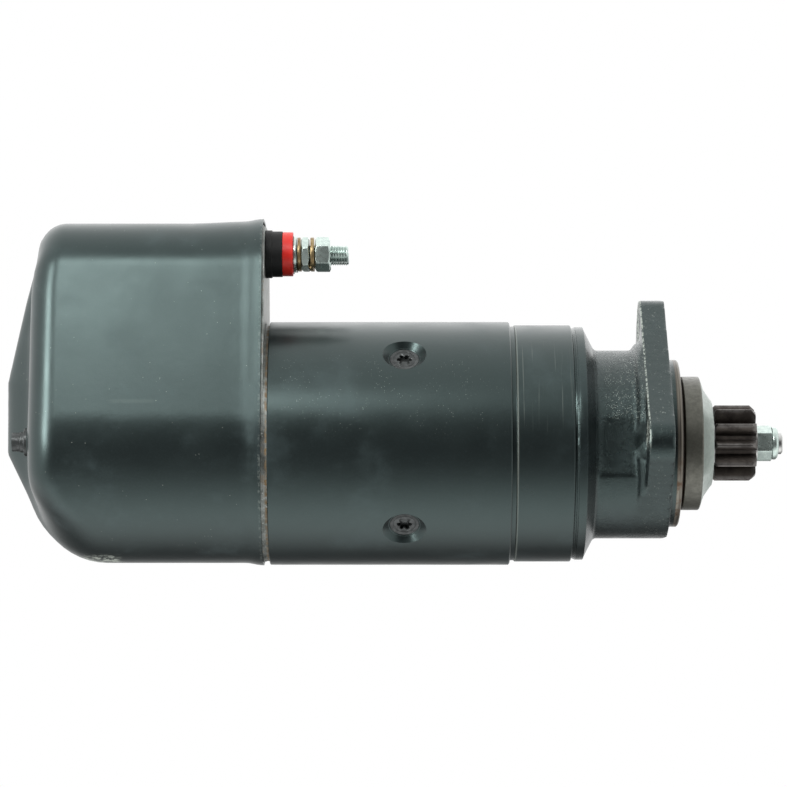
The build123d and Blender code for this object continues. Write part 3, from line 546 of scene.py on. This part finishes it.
# ---------------------------------------------------------------- repeats by Geometry Nodes
def repeat_tree(name):
    """A tree that repeats the incoming shape round the shaft line."""
    tree = bpy.data.node_groups.new(name, "GeometryNodeTree")
    tree.interface.new_socket("Geometry", in_out="INPUT", socket_type="NodeSocketGeometry")
    sockets = {}
    for label, socket in (("Count", "NodeSocketInt"), ("Start", "NodeSocketFloat"),
                          ("Step", "NodeSocketVector"), ("Finish", "NodeSocketMaterial")):
        sockets[label] = tree.interface.new_socket(label, in_out="INPUT", socket_type=socket).identifier
    tree.interface.new_socket("Geometry", in_out="OUTPUT", socket_type="NodeSocketGeometry")
    make, link = tree.nodes.new, tree.links.new
    come, leave = make("NodeGroupInput"), make("NodeGroupOutput")
    points, place = make("GeometryNodePoints"), make("GeometryNodeInstanceOnPoints")
    index, scaled = make("GeometryNodeInputIndex"), make("ShaderNodeVectorMath")
    scaled.operation = "SCALE"
    real, paint = make("GeometryNodeRealizeInstances"), make("GeometryNodeSetMaterial")
    link(come.outputs["Count"], points.inputs["Count"])
    link(come.outputs["Step"], scaled.inputs[0])
    link(index.outputs[0], scaled.inputs["Scale"])
    offset, combine = make("ShaderNodeVectorMath"), make("ShaderNodeCombineXYZ")
    link(come.outputs["Start"], combine.inputs[0])
    link(scaled.outputs[0], offset.inputs[0])
    link(combine.outputs[0], offset.inputs[1])
    link(points.outputs[0], place.inputs["Points"])
    turn = make("FunctionNodeEulerToRotation")
    link(offset.outputs[0], turn.inputs[0])
    link(turn.outputs[0], place.inputs["Rotation"])
    link(come.outputs["Geometry"], place.inputs["Instance"])
    link(place.outputs[0], real.inputs[0])
    link(real.outputs[0], paint.inputs["Geometry"])
    link(come.outputs["Finish"], paint.inputs["Material"])
    link(paint.outputs[0], leave.inputs[0])
    return tree, sockets


ring_tree, ring_sockets = repeat_tree("ring_round_shaft")


def repeated(piece, node, count, step, start):
    """Repeat a piece with Geometry Nodes and keep the result as a plain mesh."""
    modifier = piece.modifiers.new("repeat", "NODES")
    modifier.node_group = ring_tree
    modifier[ring_sockets["Count"]] = count
    modifier[ring_sockets["Start"]] = start
    modifier[ring_sockets["Step"]] = step
    modifier[ring_sockets["Finish"]] = finishes[slot_of[node]]
    graph = bpy.context.evaluated_depsgraph_get()
    mesh = bpy.data.meshes.new_from_object(piece.evaluated_get(graph))
    piece.modifiers.clear()
    piece.data = mesh
    return piece


def middle_of(node, axis):
    low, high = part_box(node)
    return (low[axis] + high[axis]) / 2 / MM


def ends_of(node):
    low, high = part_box(node)
    return low.x / MM, high.x / MM


# ---------------------------------------------------------------- rear cover
COVER_R, LOBE_R, LOBE_Y, LOBE_Z = 65.9, 33.9, 12.0, 87.7
END_X, CROWN_X = -346.5, -361.6
AROUND = 240
CIRCLES = ((0.0, 0.0, COVER_R), (-LOBE_Y, LOBE_Z, LOBE_R), (LOBE_Y, LOBE_Z, LOBE_R))


def smooth_step(value, low, high):
    t = min(1.0, max(0.0, (value - low) / (high - low)))
    return t * t * (3 - 2 * t)


def pear_outline(count):
    """Points and outward normals evenly spaced round the cover's pear-shaped section."""
    fine = []
    for i in range(7200):
        angle = 2 * pi * i / 7200
        ny, nz = cos(angle), sin(angle)
        y, z, r = max(CIRCLES, key=lambda c: c[0] * ny + c[1] * nz + c[2])
        fine.append((y + r * ny, z + r * nz, ny, nz))
    lengths = [0.0]
    for a, b in zip(fine, fine[1:] + fine[:1]):
        lengths.append(lengths[-1] + sqrt((a[0] - b[0]) ** 2 + (a[1] - b[1]) ** 2))
    samples, k = [], 0
    for i in range(count):
        target = lengths[-1] * i / count
        while lengths[k + 1] < target:
            k += 1
        a, b = fine[k], fine[(k + 1) % len(fine)]
        t = (target - lengths[k]) / max(1e-9, lengths[k + 1] - lengths[k])
        samples.append(tuple(p + (q - p) * t for p, q in zip(a, b)))
    return samples


def crown_height(y, z):
    """How far the raised field stands towards -X at a place on the cover's end."""
    fall = max(0.0, z - 33.0) * 0.225 + max(0.0, z - 77.0) * 0.04 + max(0.0, -6.0 - z) * 0.484
    side = max(0.0, abs(y) - 8.0)
    return -CROWN_X - fall - side * side / (side + 7.0) * 1.15


def soft_max(a, b, width):
    h = max(0.0, width - abs(a - b)) / width
    return max(a, b) + h * h * width * 0.25


def end_surface(y, z, base):
    return -soft_max(base, crown_height(y, z), 5.0)


def lobe_drop(x, nz, z):
    """Draft of the pressing: how far the top of the relay lobe has sunk towards the end."""
    return 1.2 * smooth_step(-x, 226.0, 262.0) * smooth_step(nz, 0.2, 0.95) * smooth_step(z, 70.0, 105.0)


def cover_rings(inset):
    """Rings of the cover's skin from its rim to the middle of its end, moved inwards by inset."""
    outline = pear_outline(AROUND)
    rings = []
    rim_x = ends_of("end_cover")[1]
    flares = [(rim_x, 1.3), (-223.0, 1.2), (-225.0, 0.95), (-227.0, 0.55), (-229.0, 0.2), (-231.0, 0.04)]
    for x, flare in [*flares, *((x, 0.0) for x in (-233.0, -240.0, -250.0, -260.0, -285.0, -300.0))]:
        rings.append([(x, y + ny * (flare - inset), z + nz * (flare - inset) - lobe_drop(x, nz, z))
                      for y, z, ny, nz in outline])
    edge = []
    for y, z, ny, nz in outline:
        radius = 16.0 - 1.0 * smooth_step(nz, 0.6, 1.0) + 23.5 * smooth_step(-nz, 0.25, 0.92)
        flat = -END_X - 3.0 * smooth_step(z, 80.0, 115.0)
        edge.append((radius, flat))
    turns = 12
    for k in range(turns + 1):
        phi = pi / 2 * k / turns
        ring = []
        for (y, z, ny, nz), (radius, flat) in zip(outline, edge):
            inward = radius * (1 - cos(phi)) + inset * cos(phi)
            depth = flat - radius * (1 - sin(phi)) - inset * sin(phi)
            py, pz = y - ny * inward, z - nz * inward - lobe_drop(END_X, nz, z)
            x = end_surface(py, pz, depth) + inset * 0.3 if k > turns // 2 else -depth
            blend = smooth_step(k, turns // 2, turns * 0.8)
            ring.append((-depth * (1 - blend) + x * blend, py, pz))
        rings.append(ring)
    last = rings[-1]
    for k in range(1, 22):
        t = 1 - k / 22.0
        ring = []
        for (x, y, z), (radius, flat) in zip(last, edge):
            py, pz = y * t, 22.0 + (z - 22.0) * t
            ring.append((end_surface(py, pz, flat) + inset, py, pz))
        rings.append(ring)
    return rings


def make_cover():
    outer, inner = cover_rings(0.0), cover_rings(1.5)
    outer_points, outer_faces = loft_rings(outer, close_ends=False)
    inner_points, inner_faces = loft_rings(inner, close_ends=False)
    shift, points = len(outer_points), outer_points + inner_points
    faces = outer_faces + [tuple(shift + i for i in reversed(face)) for face in inner_faces]
    faces += [(i, shift + i, shift + (i + 1) % AROUND, (i + 1) % AROUND) for i in range(AROUND)]
    for base, rings, x_shift in ((0, outer, 0.0), (shift, inner, 0.0)):
        start = base + (len(rings) - 1) * AROUND
        points.append((rings[-1][0][0] + x_shift, 0.0, 22.0))
        faces += [(start + i, start + (i + 1) % AROUND, len(points) - 1) for i in range(AROUND)]
    skin = from_points("cover_skin", points, faces)
    tidy_mesh(skin)
    seat_x = ends_of("cover_washers")[1]
    seat = [(seat_x, 3.4), (seat_x, 8.4), (seat_x + 0.5, 8.9), (END_X + 0.7, 8.9), (END_X + 0.7, 3.4)]
    seats = [turned("seat", seat, y=side * 36.0, segments=64) for side in (-1, 1)]
    return finished(smooth_only(joined("rear_cover", [skin, *seats]), 40.0), "end_cover")


make_cover()

for node, name in (("cover_screws", "cover_fixing_screws"), ("cover_washers", "cover_fixing_washers")):
    finished(eased(copied(name, node), 0.35), node)

# ---------------------------------------------------------------- yoke and rings
def round_normals(piece, radius, reach=0.4):
    """Shade the part of a turned skin that lies at one radius from the shaft line as truly round."""
    mesh = piece.data
    mesh.shade_smooth()
    mesh.set_sharp_from_angle(angle=radians(24.0))
    normals = [(0.0, 0.0, 0.0)] * len(mesh.loops)
    for face in mesh.polygons:
        middle = Vector((0.0, face.center.y, face.center.z))
        on_skin = abs(face.normal.x) < 0.02 and face.normal.dot(middle.normalized()) > 0.99
        if on_skin and all(abs(Vector(mesh.vertices[i].co[1:]).length - radius * MM) < reach * MM
                           for i in face.vertices):
            for corner in face.loop_indices:
                place = mesh.vertices[mesh.loops[corner].vertex_index].co
                normals[corner] = Vector((0.0, place.y, place.z)).normalized()
    mesh.normals_split_custom_set(normals)
    return piece


finished(round_normals(copied("yoke_tube", "yoke"), 66.9), "yoke")
finished(smooth_only(copied("zinc_end_plate", "end_shield"), 30.0), "end_shield")


def make_pole_screw():
    """Countersunk screw at angle 0 with a six-lobed socket and a centre-punched pip."""
    low_x, high_x = ends_of("pole_screws")
    x = (low_x + high_x) / 2
    around = 96
    socket = [(0.6, 60.9, 0), (1.6, 60.5, 0), (1.0, 60.4, 1), (1.0, 62.6, 1), (1.14, 62.9, 1)]
    head = [(5.6, 62.95, 0), (6.0, 62.75, 0), (6.4, 62.95, 0), (7.7, 62.95, 0), (8.05, 62.6, 0)]
    shank = [(5.0, 60.0, 0), (4.9, 58.0, 0), (4.9, 47.0, 0)]
    rings = []
    for radius, reach, lobed in socket + head + shank:
        ring = []
        for i in range(around):
            angle = 2 * pi * i / around
            r = radius
            if lobed:
                r = radius * (3.45 + 0.75 * cos(6 * angle) - 0.10 * cos(12 * angle))
            ring.append((x + r * cos(angle), reach, r * sin(angle)))
        rings.append(ring)
    piece = from_points("pole_fixing_screws", *loft_rings(rings))
    tidy_mesh(piece)
    return smooth_only(piece, 30.0)


four_screws = repeated(make_pole_screw(), "pole_screws", 4, (radians(90.0), 0.0, 0.0), radians(45.0))
finished(four_screws, "pole_screws")

ring_stations = [(-91.0, 54.0), (-91.0, 57.9), (-86.4, 57.9), (-86.4, 64.4), (-84.0, 64.4), (-83.5, 65.1),
                 (-53.2, 65.1), (-52.8, 64.7), (-52.8, 57.0), (-78.0, 57.0), (-78.0, 20.0), (-70.0, 20.0),
                 (-70.0, 16.0), (-84.0, 16.0), (-84.0, 54.0)]
finished(eased(turned("intermediate_ring", ring_stations, segments=224), 0.22), "intermediate_housing")


# ---------------------------------------------------------------- drive end
def make_drive_housing():
    body = copied("cast_body", "drive_end_housing")
    smoothing = {"factor": 0.5, "iterations": 3}
    remesh = {"mode": "VOXEL", "voxel_size": 1.05 * MM, "adaptivity": 0.0}
    baked(body, [("REMESH", remesh), ("SMOOTH", smoothing)])
    rim = turned("rim", [(-52.8, 57.0), (-52.8, 63.3), (-50.8, 63.35), (-50.4, 64.1), (-46.1, 64.1),
                         (-45.8, 63.1), (-43.4, 58.3), (-46.0, 57.0)], segments=224)
    pilot = turned("pilot", [(-0.8, 43.0), (-0.8, 45.6), (0.0, 46.0), (3.2, 46.0), (5.4, 46.0), (6.2, 45.2),
                              (6.2, 37.5), (4.6, 37.5)], segments=224)
    eased(rim, 0.12)
    eased(pilot, 0.15)
    casting = smooth_only(joined("drive_end_casting", [body, rim, pilot]), 40.0)
    finished(casting, "drive_end_housing")
    casting.data.materials.append(bare_pilot_finish())
    for face in casting.data.polygons:
        if face.center.x > 3.2 * MM:
            face.material_index = 1


make_drive_housing()
seal_stations = [(8.2, 22.0), (8.2, 36.0), (8.5, 36.8), (17.6, 36.8), (18.2, 36.2), (18.2, 22.0)]
finished(eased(turned("seal_cap", seal_stations, segments=192), 0.35, 20.0), "seal_housing")
nose_stations = [(19.2, 14.8), (19.2, 22.2), (18.2, 22.2), (18.2, 36.0), (20.4, 29.7), (24.2, 24.2),
                 (25.0, 23.4), (25.0, 14.8)]
finished(eased(turned("nose_cone_ring", nose_stations, segments=160), 0.25, 20.0), "nose_ring")

finished(eased(copied("drive_pinion", "pinion"), 0.3, 35.0), "pinion")
finished(smooth_only(copied("pinion_spindle", "pinion_shaft"), 30.0), "pinion_shaft")


def make_pinion_nut():
    low_x, high_x = ends_of("pinion_nut")
    body = hex_nut("nut_body", low_x, 58.2, 17.0, 6.05, 0.0, 0.0, radians(-4.0), 9.25)
    collar = turned("nut_collar", [(57.0, 6.1), (57.0, 7.8), (58.55, 7.8), (58.6, 8.9), (59.8, 9.0),
                                   (60.6, 8.85), (61.3, 8.2), (61.7, 7.4), (high_x, 6.9), (high_x, 6.1)],
                    segments=96)
    nut = joined("pinion_stop_nut", [eased(body, 0.2), eased(collar, 0.12)])
    return finished(smooth_only(nut, 28.0), "pinion_nut")


make_pinion_nut()

# ---------------------------------------------------------------- terminals
terminal_z = middle_of("terminal_studs", 2)
TERMINALS = ((-16.0, 1.0), (16.0, 0.8))


def on_terminals(node, name, make_one):
    """The same kind of piece on terminal 30 and, a size smaller, on terminal 31."""
    low_x, high_x = ends_of(node)
    pieces = [make_one(low_x, high_x, y, size) for y, size in TERMINALS]
    return finished(smooth_only(joined(name, pieces), 30.0), node)


def terminal_stud(low_x, high_x, y, size):
    return threaded_rod("stud", low_x, high_x, 5.0 * size, 1.5 * size, y, terminal_z, -204.0)


def terminal_hexagon(name, low_x, high_x, y, size, turn):
    across, bore, chamfer_radius = 16.5 * size, 5.05 * size, 7.9 * size
    return hex_nut(name, low_x, high_x, across, bore, y, terminal_z, radians(turn), chamfer_radius)


def terminal_nut(low_x, high_x, y, size):
    return eased(terminal_hexagon("nut", low_x, high_x, y, size, 5.0), 0.22)


def terminal_thin_nut(low_x, high_x, y, size):
    return eased(terminal_hexagon("thin_nut", low_x, high_x, y, size, 14.0), 0.2)


def terminal_washer(low_x, high_x, y, size):
    stations = [(low_x, 5.3 * size), (low_x, 10.0 * size), (high_x, 10.0 * size), (high_x, 5.3 * size)]
    return eased(turned("washer", stations, y=y, z=terminal_z, segments=96), 0.25)


def split_washer(x_middle, thick, rise, gap_at, y, size):
    """Coiled spring washer with a slanted split; its ends stand apart by rise."""
    rings, steps = [], 72
    for i in range(steps + 1):
        t = i / steps
        angle = gap_at + radians(4.0) + (2 * pi - radians(8.0)) * t
        x = x_middle + rise * (t - 0.5)
        ring = []
        for radius, side in ((5.4, -1), (9.2, -1), (9.2, 1), (5.4, 1)):
            reach = radius * size
            ring.append((x + side * thick / 2, y + reach * cos(angle), terminal_z + reach * sin(angle)))
        rings.append(ring)
    piece = from_points("split_washer", *loft_rings(rings))
    tidy_mesh(piece)
    return eased(piece, 0.2)


def spring_washer_pair(low_x, high_x, y, size):
    return joined("pair", [split_washer(-201.65, 1.7, 0.5, radians(250.0), y, size),
                           split_washer(-194.5, 2.0, 0.7, radians(235.0), y, size)])


on_terminals("terminal_studs", "terminal_threads", terminal_stud)
on_terminals("terminal_nuts", "terminal_top_nuts", terminal_nut)
on_terminals("terminal_thin_nuts", "terminal_lock_nuts", terminal_thin_nut)
on_terminals("terminal_washers", "terminal_flat_washers", terminal_washer)
on_terminals("terminal_spring_washers", "terminal_split_washers", spring_washer_pair)
for node, name in (("terminal_insulator", "terminal_30_bush"), ("insulator_ring", "terminal_30_red_ring"),
                   ("terminal_31_spacer", "terminal_31_sleeve"),
                   ("terminal_50_insulator", "terminal_50_bush"),
                   ("terminal_50_nut", "terminal_50_fixing_nut")):
    finished(eased(copied(name, node), 0.3), node)
stud_50_low, stud_50_high = ends_of("terminal_50_stud")
stud_50_y, stud_50_z = (middle_of("terminal_50_stud", axis) for axis in (1, 2))
stud_50 = threaded_rod("terminal_50_thread", stud_50_low, stud_50_high, 2.5, 0.8, stud_50_y, stud_50_z,
                       stud_50_low + 3.0)
finished(stud_50, "terminal_50_stud")

# ---------------------------------------------------------------- springs and brush springs as pieces of their own
def spring_piece(name, node):
    piece = finished(smooth_only(copied(name, node), 40.0), node)
    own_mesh(piece)


spring_piece("plunger_return_spring", "return_spring")
spring_piece("relay_return_spring", "relay_spring")



def quarter(name, source, direction):
    """The loose parts of a mesh that lie towards one direction from the shaft line."""
    kept = [face for face in source.data.polygons
            if face.center.normalized().dot(direction) > 0 and face.center.cross(direction).x ** 2 <
            face.center.dot(direction) ** 2]
    used = sorted({i for face in kept for i in face.vertices})
    place = {i: k for k, i in enumerate(used)}
    points = [source.data.vertices[i].co / MM for i in used]
    return from_points(name, points, [tuple(place[i] for i in face.vertices) for face in kept])


coils = copied("brush_coils", "brush_springs")
for number, angle in enumerate((45.0, 135.0, 225.0, 315.0), start=1):
    away = Vector((0.0, cos(radians(angle)), sin(radians(angle))))
    coil = finished(smooth_only(quarter("brush_coil_%d" % number, coils, away), 40.0), "brush_springs")
    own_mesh(coil)
bpy.data.objects.remove(coils)

# ---------------------------------------------------------------- every other CAD piece
for node, piece in frame["nodes"].items():
    if not piece.hide_render:
        piece.data.materials.clear()
        piece.data.materials.append(finishes[slot_of[node]])

# ---------------------------------------------------------------- floor, light and camera
target = Vector((-0.1499, 0.0, 0.0275))
TILT = radians(-1.8)
DISTANCE = 1.93
camera_data = bpy.data.cameras.new("camera")
camera_data.lens = 160.0
camera_data.sensor_width = 36.0
camera = bpy.data.objects.new("camera", camera_data)
bpy.context.scene.collection.objects.link(camera)
camera.location = target + DISTANCE * Vector((0.0, -cos(TILT), sin(TILT)))
camera.rotation_euler = (radians(90.0) - TILT, 0.0, 0.0)
camera_data.clip_end = 50.0
bpy.context.scene.camera = camera

FLOOR_REACH, FLOOR_Z = 6000, -350
corners = [(sx * FLOOR_REACH, sy * FLOOR_REACH, FLOOR_Z) for sx, sy in ((-1, -1), (1, -1), (1, 1), (-1, 1))]
floor = from_points("floor", corners, [(0, 1, 2, 3)])
floor_finish = Finish("pale_floor")
glow = floor_finish.node("ShaderNodeEmission", inputs={"Color": (1.0, 1.0, 1.0, 1.0), "Strength": 1.0})
floor_finish.node("ShaderNodeOutputMaterial", inputs={"Surface": glow}, output=None)
floor.data.materials.append(floor_finish.material)
floor.visible_diffuse = False
floor.visible_glossy = False
floor.visible_shadow = False
floor.visible_transmission = False


def set_stops(ramp, stops):
    """Give a colour ramp its (position, colour) stops."""
    while len(ramp.elements) < len(stops):
        ramp.elements.new(0.5)
    for element, (position, colour) in zip(ramp.elements, stops):
        element.position = position
        element.color = (*colour, 1.0)


def studio_world():
    """White tent round the object with a dark gap towards the front at the height of the motor."""
    world = bpy.data.worlds.new("studio")
    bpy.context.scene.world = world
    world.use_nodes = True
    tree = world.node_tree
    tree.nodes.clear()
    make, link = tree.nodes.new, tree.links.new
    place, split = make("ShaderNodeTexCoord"), make("ShaderNodeSeparateXYZ")
    link(place.outputs["Generated"], split.inputs[0])
    flip, angle, turn = make("ShaderNodeMath"), make("ShaderNodeMath"), make("ShaderNodeMapRange")
    flip.operation, angle.operation = "MULTIPLY", "ARCTAN2"
    flip.inputs[1].default_value = -1.0
    link(split.outputs[1], flip.inputs[0])
    link(split.outputs[2], angle.inputs[0])
    link(flip.outputs[0], angle.inputs[1])
    turn.inputs["From Min"].default_value = -pi
    turn.inputs["From Max"].default_value = pi
    link(angle.outputs[0], turn.inputs["Value"])
    ramp = make("ShaderNodeValToRGB")
    below = [(-180, 1.1), (-168, 0.9), (-150, 0.16), (-126, 0.06), (-108, 0.85), (-90, 1.95), (-72, 2.2),
             (-58, 1.75), (-46, 1.2), (-36, 0.7), (-25, 0.22), (-13, 0.03)]
    above = [(12, 0.03), (25, 0.32), (40, 0.78), (58, 1.2), (78, 1.55), (100, 1.65), (122, 1.75),
             (150, 1.95), (180, 1.15)]
    set_stops(ramp.color_ramp, [((a + 180) / 360, (v / 2.2,) * 3) for a, v in below + above])
    link(turn.outputs[0], ramp.inputs[0])
    side, side_mix = make("ShaderNodeMapRange"), make("ShaderNodeMix")
    side.interpolation_type = "SMOOTHSTEP"
    absolute = make("ShaderNodeMath")
    absolute.operation = "ABSOLUTE"
    link(split.outputs[0], absolute.inputs[0])
    link(absolute.outputs[0], side.inputs["Value"])
    side.inputs["From Min"].default_value = 0.45
    side.inputs["From Max"].default_value = 0.85
    side_mix.data_type = "RGBA"
    side_mix.inputs[7].default_value = (0.66, 0.66, 0.66, 1.0)
    link(side.outputs[0], side_mix.inputs[0])
    link(ramp.outputs[0], side_mix.inputs[6])
    light, back, path, final = (make("ShaderNodeBackground"), make("ShaderNodeBackground"),
                                make("ShaderNodeLightPath"), make("ShaderNodeMixShader"))
    link(side_mix.outputs[2], light.inputs[0])
    light.inputs[1].default_value = 2.2
    back.inputs[0].default_value = (1.0, 1.0, 1.0, 1.0)
    link(path.outputs["Is Camera Ray"], final.inputs[0])
    link(light.outputs[0], final.inputs[1])
    link(back.outputs[0], final.inputs[2])
    link(final.outputs[0], make("ShaderNodeOutputWorld").inputs[0])


studio_world()


def softbox(name, place, look_at, width, height, power):
    light = bpy.data.lights.new(name, "AREA")
    light.shape, light.size, light.size_y, light.energy = "RECTANGLE", width, height, power
    lamp = bpy.data.objects.new(name, light)
    bpy.context.scene.collection.objects.link(lamp)
    lamp.location = place
    lamp.rotation_euler = (Vector(look_at) - Vector(place)).to_track_quat("-Z", "Y").to_euler()


softbox("rear_softbox", (-0.45, -0.87, 0.69), (-0.30, 0.0, 0.05), 0.36, 0.30, 4.6)
softbox("left_softbox", (-1.15, -0.86, 0.34), (-0.33, 0.0, 0.05), 0.34, 0.8, 17.0)
bpy.context.scene.view_settings.view_transform = "Standard"
